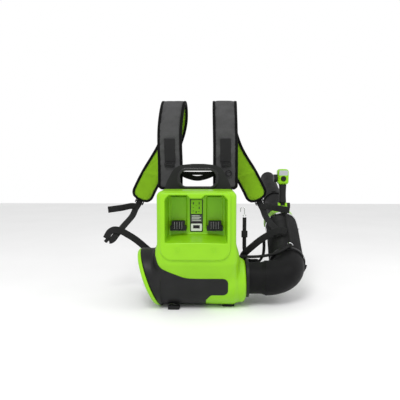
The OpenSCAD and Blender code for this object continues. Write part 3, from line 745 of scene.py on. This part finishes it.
def pad(name, route, side, width, low, high, fabrics, body, split=0.0, channels=(), ends=(30, 30),
        cap=2.5, spacing=6.0, replaces=()):
    """A pad along a route, width mm wide, its faces low and high mm off the route. fabrics are its low
    side's and its high side's, the high side's from split mm along. ends are the end corners' radii."""
    path, at = curve(route, spacing)
    _, s, n = frames(path, side)
    half, seam = width / 2 - SEAM_IN, (low + high) / 2
    from_ends = [(at, ends[0]), (at[-1] - at, ends[1])]
    inset = sum(r * (1 - quarter_round(d, r)) for d, r in from_ends)
    half_at = half - np.minimum(inset, half - 1.0)
    swell = np.prod([np.maximum(quarter_round(d, END_SWELL), LEAST_SWELL) for d, _ in from_ends], 0)
    profile = pad_section(channels)
    count = len(ACROSS)
    around = np.concatenate([np.arange(count), np.arange(count - 2, 0, -1)])
    on_low = np.arange(len(around)) < count
    depth = np.where(on_low, low - seam, high - seam)
    rings = []
    for k in range(len(path)):
        across = ACROSS[around] * half_at[k]
        off = seam + depth * profile[around] * swell[k]
        rings.append(path[k] + across[:, None] * s[k] + off[:, None] * n[k])
    points, faces = rings_mesh(rings)
    size = len(around)
    materials = [fabrics[0] if j % size < count - 1 or at[j // size] < split else fabrics[1]
        for j in range((len(path) - 1) * size)] + [fabrics[0]] * 2
    flat = np.stack([np.tile(ACROSS[around] * half, len(path)), np.repeat(at, size)], -1)
    made = piece(name, points, faces, materials, None, flat, replaces=replaces)
    edge = np.concatenate([[k * size, k * size + count - 1] for k in range(len(path))])
    sewn = [k * size + j for k in range(len(path)) for j in range(size)
        if any(abs(ACROSS[around[j]] - c) < 0.06 for c in channels)]
    ends_held = list(range(size)) + list(range((len(path) - 1) * size, len(path) * size))
    draw_in(made, sorted(set(edge.tolist()) | set(sewn) | set(ends_held)), cap)
    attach(made, body)
    right = path + half_at[:, None] * s + seam * n
    left = path - half_at[:, None] * s + seam * n
    loop = np.concatenate([right, left[::-1]])
    normals = np.concatenate([n, n[::-1]])
    binding(name + "_binding", loop, normals, (high - low) / 2 + 0.8, body)
    stitches(name + "_stitches", made, loop, normals, body)


def even_loop(loop, normals, spacing):
    """A closed loop and its normals, resampled every spacing mm or so."""
    closed = np.concatenate([loop, loop[:1]])
    facing = np.concatenate([normals, normals[:1]])
    along = distance_along(closed)
    count = int(along[-1] / spacing)
    at = np.arange(count) * along[-1] / count
    return resample(closed, along, at), resample(facing, along, at), at


def loop_frames(loop, normals):
    """Directions along a closed loop, along its normals and out of it, at each of its points."""
    ahead = unit(np.roll(loop, -1, 0) - np.roll(loop, 1, 0))
    facing = unit(normals - (normals * ahead).sum(1)[:, None] * ahead)
    return ahead, facing, np.cross(ahead, facing)


BINDING_HALF = 5.2
BINDING_STEP = 3.0
BINDING_SIDES = 16
BINDING_SIDE = 2.2


def binding(name, loop, normals, deep, body, material="binding"):
    """Tape folded over an edge: a section between an oval and a box, carried round the loop."""
    loop, normals, at = even_loop(loop, normals, BINDING_STEP)
    _, facing, out = loop_frames(loop, normals)
    q = circle(1, BINDING_SIDES)
    q = np.sign(q) * np.abs(q)**0.5 * (BINDING_HALF, deep)
    rings = [p + q[:, :1] * o + q[:, 1:] * f for p, o, f in zip(loop, out, facing)]
    points, faces = rings_mesh(rings, closed=True)
    round_it = np.arange(BINDING_SIDES) * BINDING_SIDE
    flat = np.stack([np.tile(round_it, len(loop)), np.repeat(at, BINDING_SIDES)], -1)
    return piece(name, points, faces, material, body, flat)


STITCH_LONG = 2.6
STITCH_WIDE = 0.75
STITCH_PROUD = 0.5
STITCH_SUNK = 0.4
STITCH_IN = 7.2
STITCH_GAP = 4.2
RAY_START = 25
RAY_REACH = 24
STITCH_FACES = (1, 3, 7, 5), (0, 1, 5, 4), (2, 6, 7, 3), (0, 2, 3, 1), (4, 5, 7, 6)


def stitches(name, sewn, loop, normals, body):
    """A row of stitches on both faces, just inside the binding, each laid on the pad's own surface.
    A ray that starts outside the pad misses it and makes no stitch."""
    mesh = sewn.data
    tree = BVHTree.FromPolygons([tuple(v.co / MM) for v in mesh.vertices],
        [tuple(p.vertices) for p in mesh.polygons])
    loop, normals, _ = even_loop(loop, normals, STITCH_GAP)
    ahead, facing, out = loop_frames(loop, normals)
    points, faces = [], []
    for p, f, n, o in zip(loop, ahead, facing, out):
        for way, side in ((-1, -1), (-1, 1), (1, -1), (1, 1)):
            start = p + o * side * STITCH_IN + n * way * RAY_START
            hit, normal, _, _ = tree.ray_cast(start, -n * way, RAY_REACH)
            if hit is None or abs(normal @ Vector(n)) < 0.5:
                continue
            up = np.array(normal) * (1 if normal @ Vector(n * way) > 0 else -1)
            w = np.cross(f, up)
            foot, crest = np.array(hit) - up * STITCH_SUNK, np.array(hit) + up * STITCH_PROUD
            faces += [[len(points) + k for k in q] for q in STITCH_FACES]
            for a, b in ((-1, -1), (-1, 1), (1, -1), (1, 1)):
                points += [foot + a * f * STITCH_LONG / 2 + b * w * STITCH_WIDE / 2,
                    crest + a * f * STITCH_LONG / 2.6 + b * w * STITCH_WIDE / 3.2]
    flat = np.array([(p[0], p[2]) for p in points])
    return piece(name, points, faces, "thread", body, flat)


def left_hand(points):
    """The same points on the wearer's other side."""
    return [(2 * MIDDLE_X - x, y, z) for x, y, z in points]


def leaning(route, lean):
    """The route with each point moved sideways by its own amount."""
    return [(x + shift, y, z) for (x, y, z), shift in zip(route, lean)]


HANDS = (("right", list, 1), ("left", left_hand, -1))

# ---- Shoulder straps ----
STRAP_ROUTE = [(97, 118, 389), (97, 118, 430), (97, 119, 480), (97, 122, 540), (96, 130, 600),
    (95, 148, 655), (95, 178, 696), (95, 208, 700), (95, 238, 674), (97, 256, 634), (106, 268, 585),
    (126, 278, 530), (152, 285, 483), (180, 291, 440), (207, 297, 392), (235, 300, 334)]
STRAP_SIDE = (1, 0, 0)
STRAP_WIDTH = 85
STRAP_FACES = (-6, 7.5)
STRAP_ENDS = (8, 29)
LINING_FROM = 330
PATCH_LOW, PATCH_HIGH = 478, 566
PATCH_HALF = 19
PATCH_THICK = 1.6
PATCH_OFF = 8.6          # from the strap's route to the patch
PATCH_STEP = 4
REAR_HALF_Y = 160        # the strap's rear half lies behind this
LEFT_LEAN = [0, 0, 0, -2, -3, 0, 5, 9, 11, 10, 6, 2, 0, 0, 0, 0]
for hand, turned, _ in HANDS:
    route = turned(STRAP_ROUTE)
    if hand == "left":
        route = leaning(route, LEFT_LEAN)
    pad(f"shoulder_strap_{hand}", route, STRAP_SIDE, STRAP_WIDTH, *STRAP_FACES,
        ("strap_fabric", "lining_fabric"), "blower", split=LINING_FROM, ends=STRAP_ENDS,
        replaces=[f"strap_{hand}", f"lining_{hand}"])
    path, _ = curve(route, PATCH_STEP)
    _, _, out = frames(path, STRAP_SIDE)
    sewn_on = (path[:, 2] > PATCH_LOW) & (path[:, 2] < PATCH_HIGH) & (path[:, 1] < REAR_HALF_Y)
    patch, patch_at = path[sewn_on] - PATCH_OFF * out[sewn_on], np.arange(sewn_on.sum()) * PATCH_STEP
    sweep(f"strap_patch_{hand}", patch, patch_at, STRAP_SIDE, band(PATCH_HALF, PATCH_THICK, 0.2), "webbing",
        "blower", replaces=["strap_patches"] if hand == "right" else [])

# ---- Hip pads and back pad ----
HIP_ROUTE = [(62, 141, 104), (110, 142, 102), (150, 148, 94), (185, 162, 84), (212, 188, 78),
    (228, 222, 76)]
HIP_WIDTH = 73
HIP_FACES = (-7, 7)
LEFT_DRAWN_IN = [0, 0, 0, 3, 8, 14]
BACK_ROUTE = [(MIDDLE_X, 118, 121), (MIDDLE_X, 118, 250), (MIDDLE_X, 118, 384)]
BACK_WIDTH = 270
BACK_FACES = (-13.5, 13.5)
PAD_FABRICS = ("pad_fabric", "pad_fabric")
for hand, turned, flip in HANDS:
    route = turned(HIP_ROUTE)
    if hand == "left":
        route = leaning(route, LEFT_DRAWN_IN)
    pad(f"hip_pad_{hand}", route, (0, 0, flip), HIP_WIDTH, *HIP_FACES, PAD_FABRICS, "blower",
        ends=(20, 34), channels=(-0.36, 0.36), replaces=["hip_pads"] if hand == "right" else [])
pad("back_pad_cushion", BACK_ROUTE, (1, 0, 0), BACK_WIDTH, *BACK_FACES, PAD_FABRICS, "blower",
    ends=(30, 30), channels=(-0.4, 0.4), cap=3.5, spacing=7, replaces=["back_pad"])

# ---- Webbing ----
WEB_HALF = 12
WEB_THICK = 2.6
BELT_END_HALF = 6
HOOK_HALF = 7
SLING_HALF = 9
LEG = [(236, 300, 333), (243, 300, 314), (250, 272, 298), (256, 225, 274), (272, 160, 250),
    (292, 104, 221)]
RETURN = [(106, 105.5, 98), (140, 107, 112), (164, 116, 148), (196, 110, 180), (224, 106, 204),
    (251, 102, 222), (274, 99, 235), (296, 98, 240), (313, 101, 233)]
TAIL = [(246, 287, 307), (264, 245, 312), (290, 205, 309), (338, 178, 304)]
# the left hand's webbing hangs in a loop where leg and return webbing meet
LEG_LOOP = {"right": [], "left": [(304, 100, 206), (318, 101, 199), (330, 102, 207)]}
RETURN_LOOP = {"right": [], "left": [(322, 102, 222), (330, 103, 207)]}
BELT_END = [(218, 181, 96), (228, 163, 116), (237, 143, 140), (239, 130, 168), (238, 124, 198)]
HOOK_WEBBING = [(169, 110.5, 156), (166.5, 111, 170), (166, 111.5, 181), (166, 111.5, 284)]
YOKE = [(-58, 116, 443), (0, 116.4, 442), (54, 116, 443)]
SLING = [(-58, 119, 440), (-34, 119, 430), (-4, 119, 424), (28, 119, 430), (54, 119, 441)]


def ribbon(name, route, side, half=WEB_HALF, replaces=()):
    """A length of webbing along a route, its width lying along side."""
    path, at = curve(route, 3.0)
    sweep(name, path, at, side, band(half, WEB_THICK), "webbing", "blower", replaces=replaces)


for hand, turned, flip in HANDS:
    leg_route, return_route = turned(LEG + LEG_LOOP[hand]), turned(RETURN + RETURN_LOOP[hand])
    ribbon(f"leg_webbing_{hand}", leg_route, (1, 0, flip * 0.35), replaces=[f"webbing_{hand}"])
    ribbon(f"return_webbing_{hand}", return_route, (0.2, 0, flip))
    ribbon(f"webbing_tail_{hand}", turned(TAIL), (0, 0, flip))
ribbon("waist_belt_end", BELT_END, (1, 0.3, 0), BELT_END_HALF, replaces=["belt_end"])
ribbon("hook_webbing", HOOK_WEBBING, (1, 0, 0), HOOK_HALF, replaces=["hook_strap"])
ribbon("yoke_webbing", YOKE, (0, 0, 1), BELT_END_HALF)
ribbon("yoke_sling", SLING, (0, 0, 1), SLING_HALF)


def buckle(name, place, tilt, nodes=()):
    """A ladder lock: a rounded plate with two slots, tilted about the y axis."""
    c, s = math.cos(math.radians(tilt)), math.sin(math.radians(tilt))

    def field(p):
        q = p - place
        q = np.stack([c * q[:, 0] - s * q[:, 2], q[:, 1], s * q[:, 0] + c * q[:, 2]], -1)
        form = round_box(q, (-18, -3, -8), (18, 3, 8), 2.6)
        for z in (-6, 2):
            form = smooth_max(form, -round_box(q, (-14, -9, z), (14, 9, z + 4), 1.5), 0.8)
        return form

    solid(name, field, np.array(place) - 22, np.array(place) + 22, 1.0, "black_plastic", "blower",
        replaces=nodes)


PAD_BUCKLE = (239, 300.5, 324)
PAD_BUCKLE_TILT = -25
LADDER_LOCK = (99, 105.5, 474)
for stem, node, place, tilt in (("pad_buckle", "pad_buckles", PAD_BUCKLE, PAD_BUCKLE_TILT),
        ("ladder_lock", "ladder_locks", LADDER_LOCK, 0)):
    for hand, turned, flip in HANDS:
        buckle(f"{stem}_{hand}", turned([place])[0], tilt * flip, [node] if hand == "right" else [])


def notched_slider(p):
    """The hook strap's slider, with finger notches down its left edge."""
    form = round_box(p, (155, 106, 212), (177, 117, 236), 2)
    for z in range(215, 236, 4):
        form = smooth_max(form, -(np.hypot(p[:, 0] - 154.4, p[:, 2] - z) - 1.3), 0.5)
    return smooth_max(form, -round_box(p, (158.7, 109.7, 200), (173.3, 113.3, 240), 0.2), 0.3)


solid("hook_slider_body", notched_slider, (153, 104, 210), (179, 119, 238), 0.8, "black_plastic",
    "blower", replaces=["hook_slider"])

# ---- Grab handle's lip ----
LIP_CORNER = 26
LIP = ((-67, 393), (67, 457))
LIP_DEEP = 3.2
LIP_Y = 66.4
lip_edge = np.array([(x, LIP_Y, z) for x, z in round_corners(*LIP, LIP_CORNER, count=9)])
lip_facing = np.tile((0.0, -1, 0), (len(lip_edge), 1))
binding("grab_lip", lip_edge, lip_facing, LIP_DEEP, "blower", "gloss_black")

# ---- Control handle ----
PIVOT = np.array((328, 288, 310))
GRIP_TOP = 396
GRIP_FOOT = 15.5
HEAD_HALF = 21.5
HEAD_HIGH = 60
BUTTON_Z = 22
BUTTON_WELL = 10.5


def grip_form(p):
    """The grip: an oval column, waisted in the middle, with a flat foot and finger waves in front."""
    q = p - PIVOT
    x, y, z = q.T
    top = GRIP_TOP - PIVOT[2]
    share = np.clip((z - 15) / 71, 0, 1)
    waist = 1.6 * np.sin(share * math.pi)
    wave = 0.8 * np.cos(share * 6 * math.pi) * np.clip(y / 10, 0, 1)
    column = np.stack([x, y, 0 * z], -1)
    form = round_box(column, (-14, -17, -9), (14, 17, 9), 9) + waist - wave
    form = np.maximum(np.maximum(form, GRIP_FOOT - z), z - top + 0.3)
    foot = np.maximum(np.hypot(y, z) - 11, np.abs(x) - 8)
    foot = np.minimum(foot, round_box(q, (-8, -9, 0), (8, 9, 18), 1))
    form = smooth_min(form, foot, 1.5)
    form = np.maximum(form, 5 - np.hypot(y, z))
    trigger_slot = round_box(q, (-6, -2, top - 50), (6, 30, top + 8), 0.5)
    return np.maximum(form, -trigger_slot)


def head_form(p):
    """The head: a rounded green block with a window recess and a button well."""
    q = p - (PIVOT[0], PIVOT[1], GRIP_TOP)
    x, y, z = q.T
    from_button = np.hypot(x, z - BUTTON_Z)
    form = round_box(q, (-HEAD_HALF, -24, 0), (HEAD_HALF, 24, HEAD_HIGH), 11)
    form = smooth_max(form, from_button - 2 * HEAD_HALF, 6)
    window = round_box(q, (-15.5, -30, 36), (15.5, -22.2, 54), 3)
    form = smooth_max(form, -window, 1)
    return smooth_max(form, -np.maximum(from_button - BUTTON_WELL, y + 14), 1)


solid("grip_body", grip_form, PIVOT + (-20, -24, -16), PIVOT + (20, 24, 90), 1.4, "grip_rubber", "handle",
    replaces=["grip"])
solid("grip_head_body", head_form, (300, 258, 392), (356, 318, 462), 1.2, "shell_green", "handle",
    replaces=["grip_head"])

# ---- CAD parts shown as they are: smooth shading, softened edges, the record's material ----
BEVELS = {"back_frame": 2.5, "elbow": 0.8, "handle_bracket": 1.5, "feet": 1.2, "trigger": 1.2,
    "cruise_lever": 1.5, "turbo_button": 0.8, "terminal_left": 0.7, "terminal_right": 0.7,
    "bracket_knob": 0.8, "nozzle": 0.5, "rear_tube": 0.5}
SMALL_BEVEL = 0.3
SMOOTH_BELOW = math.radians(32)
BEVEL_ABOVE = math.radians(40)
FINISHES = {"lower_clamp": "dark_steel"}
for sub in RECORD["subparts"]:
    made = NODES[sub["node"]]
    if made.hide_render:
        continue
    made.data.materials.clear()
    made.data.materials.append(look(FINISHES.get(sub["node"], sub["material_slot"])))
    made.data.shade_smooth()
    made.data.set_sharp_from_angle(angle=SMOOTH_BELOW)
    soften = made.modifiers.new("soften", "BEVEL")
    soften.width = BEVELS.get(sub["node"], SMALL_BEVEL) * MM
    soften.segments = 3
    soften.limit_method = "ANGLE"
    soften.angle_limit = BEVEL_ABOVE
    soften.harden_normals = True
    soften.use_clamp_overlap = True

# ---- Light and floor ----
WORLD_LIGHT = 0.8        # what the world gives as light; the camera sees it as 1
bpy.context.scene.view_settings.view_transform = "Standard"
world = bpy.data.worlds.new("studio")
bpy.context.scene.world = world
world.use_nodes = True
backdrop = world.node_tree.nodes["Background"]
backdrop.inputs[0].default_value = (1.0, 1.0, 1.0, 1.0)
seen = world.node_tree.nodes.new("ShaderNodeLightPath").outputs["Is Camera Ray"]
strength = world.node_tree.nodes.new("ShaderNodeMath")
strength.operation = "MULTIPLY_ADD"
strength.inputs[1].default_value = 1 - WORLD_LIGHT
strength.inputs[2].default_value = WORLD_LIGHT
world.node_tree.links.new(seen, strength.inputs[0])
world.node_tree.links.new(strength.outputs[0], backdrop.inputs[1])


def area_light(name, place_m, target_m, size_m, watts):
    """A round soft light that faces its target."""
    data = bpy.data.lights.new(name, "AREA")
    data.shape = "DISK"
    data.size = size_m
    data.energy = watts
    lamp = bpy.data.objects.new(name, data)
    lamp.location = place_m
    lamp.rotation_euler = (Vector(target_m) - Vector(place_m)).to_track_quat("-Z", "Y").to_euler()
    bpy.context.scene.collection.objects.link(lamp)


MIDDLE_M = (0.04, 0.1, 0.3)
area_light("key", (-0.3, -1.5, 2.0), MIDDLE_M, 1.0, 27)
area_light("side", (1.7, -0.6, 1.4), MIDDLE_M, 0.9, 6)
bpy.ops.mesh.primitive_plane_add(size=8)
floor = bpy.context.object
floor.name = "floor"
paper = Graph("floor_paper")
tone = paper.ramp(paper.noise(paper.object_place(), 400), 0.0, 1.0)
grey_to_white = paper.mix(tone, (0.93, 0.93, 0.93, 1), (0.96, 0.96, 0.96, 1))
paper.feed(paper.shader.inputs["Base Color"], grey_to_white)
paper.shader.inputs["Roughness"].default_value = 0.8
floor.data.materials.append(paper.material)
